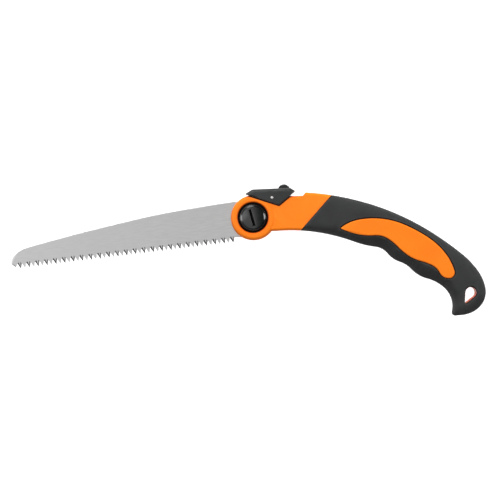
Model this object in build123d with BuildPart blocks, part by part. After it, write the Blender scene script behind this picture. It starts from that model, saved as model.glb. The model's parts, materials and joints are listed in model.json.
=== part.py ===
from build123d import *

import math
import os

# Folding pruning saw, millimetres.
# Origin: on the blade's pivot axis, in the plane that the saw lies on.
# +X runs along the toothed edge towards the butt, +Y towards the blade's spine,
# +Z from the saw's right side (the nut) to its left side (the slotted bolt head).

# Widths across the saw
MID = 13.0                     # mid-plane of the blade and of the handle
BLADE_HALF = 0.65
SLOT_HALF = 1.2                # the blade slot in the handle
HEAD_HALF = 9.5                # crown of the head's round bead
NECK_HALF = 9.1                # flat neck
NECK_EDGE = 3.0                # rounding along the neck
GRIP_HALF = 13.0               # soft grip
GRIP_EDGE = 5.0                # rounding along the grip
CORE_STEPS = [(3.0, 5.5), (6.5, 9.0)]  # hard core in the grip: inset from its outline, half thickness
CORE_START = 6.0               # the hard core starts this far in front of the slanting joint
INLAY_HALF = 12.7

# Folding: the blade turns this far from open to closed, and the slot's floor lies
# this far from the pivot, measured across the folded blade
FOLD_ANGLE = 152.0
SLOT_DEPTH = 24.0
SLOT_REACH = 300.0

# Pivot, from the axis outwards
SHANK_R = 4.0
SLEEVE_R = 6.0
WASHER_R = 11.0
NUT_R = 12.5
CAP_R = 13.5
RECESS_R = 14.9
TANG_R = 17.0
HEAD_R = 22.55
HEAD_AT = (0.5, -0.2)           # the head is set a little towards the neck
BEAD_OUT = 3.6                 # rounding of the head's bead towards its rim
BEAD_IN = 2.1                  # rounding of the head's bead towards the recess
RUNNING = 0.05                 # radial clearance of a turning fit
SNUG = 0.02                    # radial clearance of a fixed fit

# Pivot, along the axis, measured from the mid-plane
RECESS_HALF = 7.2              # floor of the recess in each side of the head
WASHER_THICK = 0.6
CAP_HEIGHT = 4.4
CAP_EDGE = 1.7                 # rounding of the cap's rim
COIN_SLOT = (16.5, 2.0, 1.7)   # length, width and depth of the slot in the cap
COIN_SLOT_ANGLE = 98.0
NUT_EDGE = 1.0
SPANNER_AT = 8.0               # two blind holes for a pin spanner, each this far from the axis
SPANNER_R = 1.5
SPANNER_DEEP = 2.5
BLADE_GAP = 0.03               # between the blade and each thrust washer
SHANK_END = 1.6                # the bolt's end, above the surface the saw lies on

# Lock lever, its pin and its pawl
PIN_AT = (21.2, 17.6)
PIN_R = 1.45
RIVET_AT = (8.0, 23.2)
RIVET_R = 1.0
WEB_HALF = 7.1                 # head between the lever's side plates
LEVER_INNER = 7.4
LEVER_OUTER = 10.4
LEVER_GAP = 1.4                # gap in the head round the side plates
LEVER_NOSE = (2.8, 28.0)       # front end of the lever's flat top
LEVER_HEEL = (40.4, 25.0)      # rear end of the lever's flat top
LEVER_CORNER = 1.0             # rounding of the wedge's corners
LEVER_EDGE = 0.8               # bevel round the lever's side plates
ROOF = 3.1                     # thickness of the lever's top
PAWL_HALF = 0.9
PAWL_ANGLE = 93.0              # where the pawl meets the tang
PAWL_TIP_R = 17.25
NOTCH_WIDTH = 3.6
NOTCH_DEPTH = 1.6
STOP_R = 19.0
STOP_PIN_R = 1.5
STOP_ANGLES = (122.0, 37.2)    # open stop and closed stop
STOP_DEEP = 4.4                # depth of each stop pin's hole from the mid-plane
PIN_END_GAP = 0.1              # between a pin's end and the bottom of its blind hole
PIN_BEVEL = 0.3

# Safety slider on the lever's top, centred SLIDER_BACK along it from the nose
SLIDER_BACK = 31.5
SLIDER_WIDE = 9.0
SLIDER_EDGE = 1.0
RIBS = 7                       # grooves across the knob
RIB_WIDE = 1.0
RIB_DEEP = 0.3
CLIP_LONG = 8.0
CLIP_WIDE = 6.0
CLIP_THICK = 0.9
SLIDER_TRAVEL = 6.0
SLIDER_R = 6.0
SLIDER_SINK = 1.85             # the knob's centre lies this far under the lever's top
STEM_LONG = 5.0
STEM_WIDE = 3.6
CLEAR = 0.15

# Blade
PITCH = 4.46
TEETH = 49
FIRST_TIP_X = -22.26
TIP_Y = -22.5
GULLET_Y = -17.3
LEAN = 0.31                    # a tooth's tip lies this part of the pitch from its handle-side gullet

# Outline of the neck and grip: the front of the back's curve, and the front of the finger side
BACK_START = (55.0, 18.7)
BACK_MIDDLE = (112.0, 2.0)
CHIN = (28.0, -16.4)

# Slanting joint between the hard neck and the soft grip
SPLIT_FOOT = Vector(46.0, -18.0)
SPLIT_ANGLE = 42.0
GROOVE = 0.5
RAMP_START = 0.4               # the grip stands this far above the head's crown at the joint
RAMP_LONG = 28.0               # and thickens over this length behind it
INLAY_TIP = (85.2, -21.0)

# Screws that hold the two handle halves together, all clear of the blade slot
SCREWS = [(62.0, 6.0), (112.0, -22.0), (160.0, -45.0), (200.0, -72.0)]
SCREW_R = 1.7
SCREW_HEAD_R = 3.2
SCREW_HEAD_HIGH = 2.4
SCREW_HEAD_EDGE = 0.9
SCREW_WELL_GAP = 0.2           # round a screw's head in the hard core
CROSS_LONG = 3.6               # cross recess in a screw's head
CROSS_WIDE = 0.8
CROSS_DEEP = 1.2
SCREW_SEAT = 6.6               # depth of the head's seat from the surface the saw lies on
SCREW_END = 21.0

# Hanging hole in the butt
HANG_AT = (206.4, -100.3)
HANG_R = 5.4
HANG_POINT = (200.5, -109.0)
HANG_POINT_R = 1.1

UP = (Align.CENTER, Align.CENTER, Align.MIN)
mid_plane = Plane.XY.offset(MID)


def polar(radius, degrees):
    """Point at a radius and an angle from +X about the pivot."""
    angle = math.radians(degrees)
    return (radius * math.cos(angle), radius * math.sin(angle))


def arc_chain(start, heading, points):
    """Arcs through the points, each starting in the direction in which the last one ended."""
    tangent = polar(1, heading)
    for point in points:
        arc = TangentArc(start, point, tangent=tangent)
        start = arc @ 1
        tangent = arc % 1
    return start


def band_face(edge, towards):
    """Half-plane behind a line: edge is a point and an angle, towards points into the half-plane."""
    foot, angle = edge
    along = Vector(*polar(SLOT_REACH, angle))
    into = Vector(*polar(SLOT_REACH, towards))
    with BuildSketch(mid_plane) as face:
        with BuildLine():
            Polyline(foot - along, foot + along, foot + along + into, foot - along + into, close=True)
        make_face()
    return face.sketch


def behind_split(shift):
    """Everything on the grip's side of the slanting joint, moved shift towards the butt."""
    foot = SPLIT_FOOT + Vector(*polar(shift, SPLIT_ANGLE - 90))
    return band_face((foot, SPLIT_ANGLE), SPLIT_ANGLE - 90)


def slot_face():
    """Where the blade passes: everything on the finger side of the slot's floor."""
    folded = 180 + FOLD_ANGLE
    floor = Vector(*polar(SLOT_DEPTH, folded + 90))
    return band_face((floor, folded), folded - 90)


def grip_face():
    """Side view of the grip: back, butt, hook, three finger grooves, and a straight cut under the neck."""
    with BuildSketch(mid_plane) as face:
        with BuildLine():
            butt = arc_chain(
                BACK_START, -10,
                [BACK_MIDDLE, (176, -36.4), (203, -61.2), (216, -78.8), (221.6, -97), (213.1, -116.3),
                 (195.4, -121.7)],
            )
            hook = arc_chain(
                CHIN, -4,
                [(62, -22.2), (98, -36.2), (118, -43.6), (129.5, -51.8), (140.5, -61.5), (151, -70.1),
                 (166, -81.6), (182, -93.2), (187.4, -105), (186.8, -114.5), (192.8, -121.7)],
            )
            Line(hook, butt)
            Line(CHIN, BACK_START)
        make_face()
    return face.sketch


def neck_face():
    """Side view of the neck, from inside the head to beyond the slanting joint."""
    with BuildSketch(mid_plane) as face:
        with BuildLine():
            below = arc_chain(CHIN, -4, [(62, -22.2), (80, -28.5)])
            above = arc_chain(BACK_START, -10, [BACK_MIDDLE])
            Line(below, above)
            Polyline(BACK_START, (52.3, 15.8), (43.5, 16.4), (9, 20.4), (0, 18))
            Polyline((0, 18), (0, -15.8), (18.5, -15.8), CHIN)
        make_face()
    return face.sketch


def inlay_face(extra):
    """Hard panel that shows through the grip, grown by extra: pointed in front, waved on the finger side."""
    with BuildSketch(mid_plane) as face:
        with BuildLine():
            arc_chain(
                INLAY_TIP, 32,
                [(104, -14.9), (124, -16.1), (148, -24.9), (172, -42.0), (187.3, -61.5), (192.3, -76)],
            )
            arc_chain(
                INLAY_TIP, -32,
                [(100, -28.3), (118, -32.0), (131, -37.0), (139.5, -45.9), (149, -56.0), (160, -62.7),
                 (170, -67.6), (178, -77), (186.8, -83.3), (192.3, -76)],
            )
        make_face()
        if extra:
            offset(amount=extra, mode=Mode.REPLACE)
    return face.sketch


def teardrop(extra):
    """Hanging hole, grown by extra all round."""
    with BuildSketch(mid_plane) as face:
        with Locations(HANG_AT):
            Circle(HANG_R + extra)
        with Locations(HANG_POINT):
            Circle(HANG_POINT_R + extra)
        make_hull()
    return face.sketch


def lever_face(extra):
    """Side view of the lock lever, a wedge with its nose over the head, grown by extra all round."""
    with BuildSketch(mid_plane) as face:
        with BuildLine():
            Polyline((-5.2, 24.3), LEVER_NOSE, LEVER_HEEL, (44.6, 20.9), (27.3, 9.4), close=True)
        make_face()
        shoulder = face.vertices().sort_by_distance((*LEVER_NOSE, MID))[0]
        others = [corner for corner in face.vertices() if corner is not shoulder]
        fillet(shoulder, 4.0)
        fillet(others, LEVER_CORNER)
        if extra:
            offset(amount=extra, mode=Mode.REPLACE)
    return face.sketch


def holes(points, radius, start, depth):
    """Round holes along the saw's width, cut from the height start."""
    with Locations(*[(x, y, start) for x, y in points]):
        Cylinder(radius, depth, align=UP, mode=Mode.SUBTRACT)


def ring(outer, inner, low, thick):
    """Flat round washer on the pivot axis."""
    with BuildPart() as washer:
        with BuildSketch(Plane.XY.offset(low)):
            Circle(outer)
            Circle(inner, mode=Mode.SUBTRACT)
        extrude(amount=thick)
    return washer.part


# Round head, the half on the left of the mid-plane
with BuildPart() as head_disc:
    with Locations((*HEAD_AT, MID)):
        Cylinder(HEAD_R, HEAD_HALF, align=UP)
    fillet(head_disc.edges().group_by(Axis.Z)[-1], BEAD_OUT)

# Room for the washer and the bolt's cap, with the rounding that makes the head's rim a bead
with BuildPart() as recess:
    crown = MID + HEAD_HALF
    floor = MID + RECESS_HALF
    bead_mid = polar(BEAD_IN, 135)
    with BuildSketch(Plane.XZ):
        with BuildLine():
            ThreePointArc(
                (RECESS_R, crown - BEAD_IN),
                (RECESS_R + BEAD_IN + bead_mid[0], crown - BEAD_IN + bead_mid[1]),
                (RECESS_R + BEAD_IN, crown),
            )
            Polyline((RECESS_R + BEAD_IN, crown), (RECESS_R + BEAD_IN, crown + 1), (0, crown + 1), (0, floor),
                     (RECESS_R, floor), (RECESS_R, crown - BEAD_IN))
        make_face()
    revolve(axis=Axis.Z)

# Hard core inside the grip, stepped along its outline to hold the overmould
with BuildPart() as grip_core:
    for inset, height in CORE_STEPS:
        with BuildSketch(mid_plane):
            add(grip_face())
            offset(amount=-inset, mode=Mode.REPLACE)
            add(behind_split(-CORE_START), mode=Mode.INTERSECT)
        extrude(amount=height)

# Head, neck and grip core, the half from the mid-plane outwards that both sides share
with BuildPart() as core_half:
    extrude(neck_face(), NECK_HALF)
    neck_rim = core_half.faces().sort_by(Axis.Z)[-1].outer_wire().edges()
    fillet(neck_rim.filter_by(lambda e: e.length > 6), NECK_EDGE)
    extrude(behind_split(0), GRIP_HALF, mode=Mode.SUBTRACT)
    add(head_disc.part)
    add(recess.part, mode=Mode.SUBTRACT)
    add(grip_core.part)
    extrude(inlay_face(0), INLAY_HALF)
    with BuildSketch(mid_plane.offset(WEB_HALF)):
        add(lever_face(LEVER_GAP))
    extrude(amount=HEAD_HALF, mode=Mode.SUBTRACT)
    extrude(slot_face(), SLOT_HALF, mode=Mode.SUBTRACT)
    with BuildSketch(mid_plane):
        Polygon((-8, 30), (-8, 12), (19, 10), (27, 13.5), (27, 30), align=None)
    extrude(amount=SLOT_HALF, mode=Mode.SUBTRACT)
    extrude(teardrop(0), GRIP_HALF, mode=Mode.SUBTRACT)
    holes([(0, 0)], SLEEVE_R + SNUG, MID, HEAD_HALF)
    holes([PIN_AT], PIN_R + SNUG, MID, HEAD_HALF)
    holes([polar(STOP_R, angle) for angle in STOP_ANGLES], STOP_PIN_R + SNUG, MID, STOP_DEEP)

# Left half of the core, with blind holes for the screws
with BuildPart() as handle_core_left:
    add(core_half.part)
    holes(SCREWS, SCREW_R + SNUG, MID, SCREW_END + PIN_END_GAP - MID)

# Right half of the core, with a seat for each screw's head
with BuildPart() as handle_core_right:
    add(mirror(core_half.part, about=mid_plane))
    holes(SCREWS, SCREW_R + SNUG, 0, MID)
    holes(SCREWS, SCREW_HEAD_R + SCREW_WELL_GAP, 0, SCREW_SEAT)

# Soft overmould, the half that both sides share
with BuildPart() as skin_half:
    extrude(grip_face(), GRIP_HALF)
    fillet(skin_half.faces().sort_by(Axis.Z)[-1].outer_wire().edges().filter_by(
        lambda e: e.geom_type != GeomType.LINE or e.length < 20), GRIP_EDGE)
    with BuildSketch(mid_plane):
        add(behind_split(GROOVE))
    extrude(amount=GRIP_HALF, mode=Mode.INTERSECT)
    add(grip_core.part, mode=Mode.SUBTRACT)
    extrude(inlay_face(GROOVE), GRIP_HALF, mode=Mode.SUBTRACT)
    extrude(slot_face(), SLOT_HALF, mode=Mode.SUBTRACT)
    extrude(teardrop(0.6), GRIP_HALF, mode=Mode.SUBTRACT)
    across = Vector(*polar(1, SPLIT_ANGLE - 90))
    along = Vector(*polar(-1, SPLIT_ANGLE))
    with BuildSketch(Plane(origin=(SPLIT_FOOT.X, SPLIT_FOOT.Y, MID + HEAD_HALF), x_dir=across, z_dir=along)):
        Polygon(
            (-20, RAMP_START), (0, RAMP_START),
            (RAMP_LONG, GRIP_HALF - HEAD_HALF), (RAMP_LONG, 10), (-20, 10),
            align=None,
        )
    extrude(amount=80, both=True, mode=Mode.SUBTRACT)

with BuildPart() as overmould_left:
    add(skin_half.part)

with BuildPart() as overmould_right:
    add(mirror(skin_half.part, about=mid_plane))
    holes(SCREWS, SCREW_HEAD_R + 2 * SCREW_WELL_GAP, 0, MID)

# Screws: pan heads with a cross recess, all in one group
with BuildPart() as handle_screws:
    with Locations(*[(x, y, SCREW_SEAT) for x, y in SCREWS]):
        Cylinder(SCREW_R, SCREW_END - SCREW_SEAT, align=UP)
    with Locations(*[(x, y, SCREW_SEAT - SCREW_HEAD_HIGH) for x, y in SCREWS]):
        Cylinder(SCREW_HEAD_R, SCREW_HEAD_HIGH, align=UP)
    fillet(handle_screws.edges().filter_by(GeomType.CIRCLE).group_by(Axis.Z)[0], SCREW_HEAD_EDGE)
    with Locations(*[(x, y, SCREW_SEAT - SCREW_HEAD_HIGH) for x, y in SCREWS]):
        Box(CROSS_LONG, CROSS_WIDE, 2 * CROSS_DEEP, mode=Mode.SUBTRACT)
        Box(CROSS_WIDE, CROSS_LONG, 2 * CROSS_DEEP, mode=Mode.SUBTRACT)

# Blade: tang with two lock notches, tapering body, slanting teeth
with BuildPart() as saw_blade:
    with BuildSketch(mid_plane.offset(-BLADE_HALF)):
        with BuildLine():
            shoulder = Line(polar(TANG_R, 127), polar(22.8, 127))
            spine = Spline(shoulder @ 1, (-51, 17.0), (-102, 14.1), (-153, 8.2), (-204, 1.3), (-233, -4.0))
            nose = ThreePointArc(spine @ 1, (-241.8, -9.3), (-245.9, -16.4))
            tips = [FIRST_TIP_X - PITCH * number for number in range(TEETH)]
            edge = []
            for tip in tips:
                edge.append((tip + LEAN * PITCH, GULLET_Y))
                edge.append((tip, TIP_Y))
            edge.append((tips[-1] + (LEAN - 1) * PITCH, GULLET_Y - 0.6))
            heel = polar(21.5, 240)
            Polyline(polar(TANG_R, 240), heel, *edge, (-241.4, -20.6), nose @ 1)
            ThreePointArc(polar(TANG_R, 127), polar(TANG_R, 3.5), polar(TANG_R, 240))
        make_face()
    extrude(amount=2 * BLADE_HALF)
    for angle in (PAWL_ANGLE, PAWL_ANGLE - FOLD_ANGLE):
        with BuildSketch(Plane.XY):
            with Locations(Location((*polar(TANG_R, angle), 0), (0, 0, angle))):
                Rectangle(2 * NOTCH_DEPTH, NOTCH_WIDTH)
        extrude(amount=2 * MID, mode=Mode.SUBTRACT)
    holes([(0, 0)], SLEEVE_R + RUNNING, 0, 2 * MID)

# Pivot bolt: round cap with a coin slot, and its shank
cap_base = MID + RECESS_HALF + WASHER_THICK
with BuildPart() as pivot_bolt:
    with Locations((0, 0, cap_base)):
        Cylinder(CAP_R, CAP_HEIGHT, align=UP)
    fillet(pivot_bolt.edges().group_by(Axis.Z)[-1], CAP_EDGE)
    slot_long, slot_wide, slot_deep = COIN_SLOT
    with Locations(Location((0, 0, cap_base + CAP_HEIGHT), (0, 0, COIN_SLOT_ANGLE))):
        Box(slot_long, slot_wide, 2 * slot_deep, mode=Mode.SUBTRACT)
    with Locations((0, 0, SHANK_END)):
        Cylinder(SHANK_R, cap_base - SHANK_END, align=UP)

# Round blind nut with two holes for a pin spanner; its flat face rests on the table
nut_height = MID - RECESS_HALF - WASHER_THICK
with BuildPart() as pivot_nut:
    Cylinder(NUT_R, nut_height, align=UP)
    fillet(pivot_nut.edges().group_by(Axis.Z)[0], NUT_EDGE)
    holes([(0, 0)], SHANK_R + SNUG, SHANK_END, nut_height)
    holes([(SPANNER_AT, 0), (-SPANNER_AT, 0)], SPANNER_R, 0, SPANNER_DEEP)

with BuildPart() as pivot_sleeve:
    add(ring(SLEEVE_R, SHANK_R + SNUG, MID - RECESS_HALF, 2 * RECESS_HALF))

with BuildPart() as spring_washer:
    add(ring(WASHER_R, SHANK_R + SNUG, MID + RECESS_HALF, WASHER_THICK))

with BuildPart() as nut_washer:
    add(ring(WASHER_R, SHANK_R + SNUG, MID - RECESS_HALF - WASHER_THICK, WASHER_THICK))

thrust_thick = SLOT_HALF - BLADE_HALF - BLADE_GAP
with BuildPart() as thrust_washer_left:
    add(ring(WASHER_R, SLEEVE_R + SNUG, MID + SLOT_HALF - thrust_thick, thrust_thick))

with BuildPart() as thrust_washer_right:
    add(ring(WASHER_R, SLEEVE_R + SNUG, MID - SLOT_HALF, thrust_thick))


def stop_pin(angle):
    with BuildPart() as pin:
        with Locations((*polar(STOP_R, angle), MID)):
            Cylinder(STOP_PIN_R, 2 * (STOP_DEEP - PIN_END_GAP))
        chamfer(pin.edges().filter_by(GeomType.CIRCLE), PIN_BEVEL)
    return pin.part


with BuildPart() as stop_pin_open:
    add(stop_pin(STOP_ANGLES[0]))

with BuildPart() as stop_pin_closed:
    add(stop_pin(STOP_ANGLES[1]))

with BuildPart() as lever_pin:
    with Locations((*PIN_AT, MID)):
        Cylinder(PIN_R, 2 * LEVER_OUTER + 0.4)
    fillet(lever_pin.edges().filter_by(GeomType.CIRCLE), 0.5)

# Frame of the lever's flat top: x backwards along it, y out of it
top_run = Vector(*LEVER_HEEL) - Vector(*LEVER_NOSE)
top_dir = top_run.normalized()
lever_top = Plane(origin=(*LEVER_NOSE, MID), x_dir=top_dir, z_dir=(0, 0, 1))


def on_top(back, up):
    """Point in the side view, given back along the lever's top and up from it."""
    place = lever_top.from_local_coords((back, up, 0))
    return (place.X, place.Y)


# Lock lever: two side plates joined by a roof, with a slot in the roof for the slider
with BuildPart() as lock_lever:
    with BuildSketch(mid_plane.offset(-LEVER_OUTER)):
        add(lever_face(0))
    extrude(amount=2 * LEVER_OUTER)
    chamfer(lock_lever.faces().filter_by(Axis.Z).edges(), LEVER_EDGE)
    with BuildSketch(mid_plane.offset(-LEVER_INNER)):
        Polygon((-8, 23.7), on_top(0, -ROOF), on_top(39.8, -ROOF), (42.5, 0), (-8, 0), align=None)
    extrude(amount=2 * LEVER_INNER, mode=Mode.SUBTRACT)
    holes([PIN_AT], PIN_R + RUNNING, 0, 2 * MID)
    holes([RIVET_AT], RIVET_R + SNUG, MID - 8.8, 17.6)
    slot_back = SLIDER_BACK + STEM_LONG / 2 + 2 * CLEAR
    slot_front = SLIDER_BACK - SLIDER_TRAVEL - STEM_LONG / 2 - 2 * CLEAR
    with BuildSketch(mid_plane.offset(-STEM_WIDE / 2 - CLEAR)):
        Polygon(
            on_top(slot_front, 1), on_top(slot_back, 1), on_top(slot_back, -6), on_top(slot_front, -6),
            align=None,
        )
    extrude(amount=STEM_WIDE + 2 * CLEAR, mode=Mode.SUBTRACT)

# Steel pawl inside the lever: its tooth stands over the tang's notch
with BuildPart() as lock_pawl:
    with BuildSketch(mid_plane.offset(-PAWL_HALF)):
        with Locations(PIN_AT):
            Circle(3.4)
        Polygon(
            (23, 20.4), (9, 24.2), (0.8, 23.6), (-2.2, 22.3), polar(PAWL_TIP_R, PAWL_ANGLE + 5),
            polar(PAWL_TIP_R, PAWL_ANGLE - 5), (1.2, 20.3), (12, 18.2), (19, 15), align=None,
        )
    extrude(amount=2 * PAWL_HALF)
    holes([PIN_AT], PIN_R + RUNNING, 0, 2 * MID)
    holes([RIVET_AT], RIVET_R + SNUG, 0, 2 * MID)

with BuildPart() as pawl_rivet:
    with Locations((*RIVET_AT, MID)):
        Cylinder(RIVET_R, 17.4)

# Bent leaf spring that lifts the lever's rear end
with BuildPart() as lever_spring:
    with BuildSketch(mid_plane.offset(3.6)):
        Polygon(
            (28, 18.25), (40.2, 16.84), (41, 17.5), (40.2, 18.1), (30.6, 22.5),
            (30.3, 22.05), (39.0, 17.9), (39.4, 17.4), (28, 18.75),
            align=None,
        )
    extrude(amount=3)

# Safety slider: half-round ribbed knob, with a stem through the lever's roof
with BuildPart() as safety_slider:
    with BuildSketch(lever_top.offset(-SLIDER_WIDE / 2)):
        with Locations((SLIDER_BACK, -SLIDER_SINK)):
            Circle(SLIDER_R)
        with Locations((SLIDER_BACK, CLEAR - SLIDER_R)):
            Rectangle(4 * SLIDER_R, 2 * SLIDER_R, mode=Mode.SUBTRACT)
    extrude(amount=SLIDER_WIDE)
    fillet(safety_slider.edges().filter_by(GeomType.CIRCLE), SLIDER_EDGE)
    with BuildSketch(lever_top.offset(-SLIDER_WIDE / 2)):
        with Locations((SLIDER_BACK, -SLIDER_SINK)):
            with PolarLocations(SLIDER_R, RIBS, start_angle=51, angular_range=78):
                Rectangle(RIB_WIDE, 2 * RIB_DEEP)
    extrude(amount=SLIDER_WIDE, mode=Mode.SUBTRACT)
    with BuildSketch(lever_top.offset(-STEM_WIDE / 2)):
        with Locations((SLIDER_BACK, (CLEAR - ROOF) / 2)):
            Rectangle(STEM_LONG, ROOF + 5 * CLEAR)
    extrude(amount=STEM_WIDE)

# Plate under the roof that keeps the slider on the lever
with BuildPart() as slider_clip:
    with BuildSketch(lever_top.offset(-CLIP_WIDE / 2)):
        with Locations((SLIDER_BACK, -ROOF - CLEAR - CLIP_THICK / 2)):
            Rectangle(CLIP_LONG, CLIP_THICK)
    extrude(amount=CLIP_WIDE)
    with BuildSketch(lever_top.offset(-STEM_WIDE / 2 - SNUG)):
        with Locations((SLIDER_BACK, -ROOF)):
            Rectangle(STEM_LONG + 2 * SNUG, 4)
    extrude(amount=STEM_WIDE + 2 * SNUG, mode=Mode.SUBTRACT)

pieces = {
    "handle_core_left": handle_core_left,
    "handle_core_right": handle_core_right,
    "overmould_left": overmould_left,
    "overmould_right": overmould_right,
    "handle_screws": handle_screws,
    "saw_blade": saw_blade,
    "pivot_bolt": pivot_bolt,
    "pivot_nut": pivot_nut,
    "pivot_sleeve": pivot_sleeve,
    "spring_washer": spring_washer,
    "nut_washer": nut_washer,
    "thrust_washer_left": thrust_washer_left,
    "thrust_washer_right": thrust_washer_right,
    "stop_pin_open": stop_pin_open,
    "stop_pin_closed": stop_pin_closed,
    "lever_pin": lever_pin,
    "lock_lever": lock_lever,
    "lock_pawl": lock_pawl,
    "pawl_rivet": pawl_rivet,
    "lever_spring": lever_spring,
    "safety_slider": safety_slider,
    "slider_clip": slider_clip,
}
os.makedirs("parts", exist_ok=True)
for name, piece in pieces.items():
    piece.part.label = name
    export_step(piece.part, f"parts/{name}.step")
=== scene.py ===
import json
import math

import bpy
import numpy as np
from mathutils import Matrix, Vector, geometry


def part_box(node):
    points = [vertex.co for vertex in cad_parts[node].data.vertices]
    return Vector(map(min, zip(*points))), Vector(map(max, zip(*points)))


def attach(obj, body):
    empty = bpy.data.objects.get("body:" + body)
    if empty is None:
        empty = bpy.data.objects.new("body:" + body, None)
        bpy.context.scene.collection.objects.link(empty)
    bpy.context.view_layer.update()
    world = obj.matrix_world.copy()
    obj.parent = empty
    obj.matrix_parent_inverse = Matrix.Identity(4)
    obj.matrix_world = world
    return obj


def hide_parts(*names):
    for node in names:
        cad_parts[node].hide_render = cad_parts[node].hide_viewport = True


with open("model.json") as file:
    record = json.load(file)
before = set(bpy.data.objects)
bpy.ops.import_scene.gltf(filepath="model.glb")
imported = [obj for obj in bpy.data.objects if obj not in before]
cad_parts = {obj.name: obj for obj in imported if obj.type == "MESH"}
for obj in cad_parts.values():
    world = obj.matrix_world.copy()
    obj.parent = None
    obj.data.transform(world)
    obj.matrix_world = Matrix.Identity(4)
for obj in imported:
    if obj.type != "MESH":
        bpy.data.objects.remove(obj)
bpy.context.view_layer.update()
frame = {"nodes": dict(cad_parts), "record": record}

# Folding pruning saw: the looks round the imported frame.
# Shapes are worked out in millimetres in the frame's own axes, and scaled to metres as they become meshes.

MM = 0.001
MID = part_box("handle_core_left")[0].z / MM          # mid-plane of blade and handle
GRIP_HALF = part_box("overmould_left")[1].z / MM - MID
BLADE_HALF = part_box("saw_blade")[1].z / MM - MID
SLOT_HALF = 1.2                                     # half width of the blade slot in the handle
SLOT_DEPTH = 24.0                                   # its floor, from the pivot across the folded blade
FOLD_ANGLE = 152.0                                  # from the open blade to the folded one

# Slanting joint between neck and grip
SPLIT_FOOT = np.array([46.0, -18.0])
SPLIT_ANGLE = math.radians(42.0)
JOINT_GAP = 0.1                # the soft grip starts this far behind the joint


# ---------------------------------------------------------------- flat outlines

def arc_chain(start, heading, points, step=0.8):
    """Points along tangent arcs: each arc starts in the direction in which the last one ended."""
    here = np.array(start, float)
    angle = math.radians(heading)
    path = [here]
    for target in points:
        target = np.array(target, float)
        chord = target - here
        half = (math.atan2(chord[1], chord[0]) - angle + math.pi) % (2 * math.pi) - math.pi
        length = np.hypot(*chord)
        count = max(2, int(length / step))
        for i in range(1, count + 1):
            t = i / count
            # a point of a circular arc, from its chord and the angle between chord and tangent
            reach = length * (math.sin(t * half) / math.sin(half) if abs(half) > 1e-6 else t)
            bearing = angle + t * half
            path.append(here + reach * np.array([math.cos(bearing), math.sin(bearing)]))
        here = target
        angle += 2 * half
    return np.array(path)


def smooth_line(points, step):
    """Curve through points, with the slope at each point taken from its two neighbours."""
    points = np.array(points, float)
    gaps = np.hypot(*np.diff(points, axis=0).T)
    run = np.concatenate([[0], np.cumsum(gaps)])
    slopes = np.gradient(points, run, axis=0)
    path = [points[0]]
    for i, gap in enumerate(gaps):
        count = max(2, int(gap / step))
        for t in np.arange(1, count + 1) / count:
            ease = t * t * (3 - 2 * t)
            path.append(points[i] * (1 - ease) + points[i + 1] * ease
                        + gap * (slopes[i] * t * (1 - t) ** 2 - slopes[i + 1] * t * t * (1 - t)))
    return np.array(path)


def resample(path, step, closed=True):
    """The same line with evenly spaced points."""
    line = np.vstack([path, path[:1]]) if closed else path
    run = np.concatenate([[0], np.cumsum(np.hypot(*np.diff(line, axis=0).T))])
    count = max(3, int(run[-1] / step))
    at = np.linspace(0, run[-1], count + 1)
    if closed:
        at = at[:-1]
    return np.column_stack([np.interp(at, run, line[:, 0]), np.interp(at, run, line[:, 1])])


def distance(points, path, closed=True):
    """Distance of each point from a line."""
    start = path
    end = np.roll(path, -1, axis=0)
    if not closed:
        start, end = start[:-1], end[:-1]
    run = end - start
    size = np.maximum((run ** 2).sum(1), 1e-12)
    best = np.full(len(points), 1e9)
    for chunk in range(0, len(points), 2000):
        part = points[chunk:chunk + 2000, None, :] - start[None]
        t = np.clip((part * run[None]).sum(2) / size[None], 0, 1)
        gap = part - t[..., None] * run[None]
        best[chunk:chunk + 2000] = np.sqrt((gap ** 2).sum(2).min(1))
    return best


def inside(points, loop):
    """True for each point inside a closed line."""
    x, y = points[:, 0, None], points[:, 1, None]
    x0, y0 = loop[:, 0], loop[:, 1]
    x1, y1 = np.roll(x0, -1), np.roll(y0, -1)
    crosses = (y0 > y) != (y1 > y)
    rise = np.where(y1 == y0, 1e-9, y1 - y0)
    hits = crosses & (x < (x1 - x0) * (y - y0) / rise + x0)
    return hits.sum(1) % 2 == 1


def grown(loop, amount):
    """A closed line moved outwards by amount, or inwards if it is negative."""
    ahead = np.roll(loop, -1, axis=0) - np.roll(loop, 1, axis=0)
    normal = np.column_stack([ahead[:, 1], -ahead[:, 0]])
    normal /= np.maximum(np.hypot(*normal.T)[:, None], 1e-9)
    area = 0.5 * np.sum(loop[:, 0] * np.roll(loop[:, 1], -1) - np.roll(loop[:, 0], -1) * loop[:, 1])
    return loop + normal * amount * (1 if area > 0 else -1)


def circle(centre, radius, step=0.8):
    """Closed line of evenly spaced points on a circle."""
    count = max(16, int(2 * math.pi * radius / step))
    angles = np.linspace(0, 2 * math.pi, count, endpoint=False)
    return np.array(centre) + radius * np.column_stack([np.cos(angles), np.sin(angles)])


# Back of the handle from the neck over the butt, and belly from the neck over the finger grooves to the hook
back = arc_chain(
    (55, 18.7), -10,
    [(112, 2.0), (176, -36.4), (203, -61.2), (216.2, -78.8), (221.9, -97), (213.1, -116.3), (195.4, -121.7)],
)
belly = arc_chain(
    (28, -16.4), -4,
    [(62, -22.2), (98, -36.2), (118, -43.6), (129.5, -51.8), (140.5, -61.5), (151, -70.1),
     (166, -81.6), (182, -93.2), (187.4, -105), (186.2, -117.4), (190.0, -121.5)],
)

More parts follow.
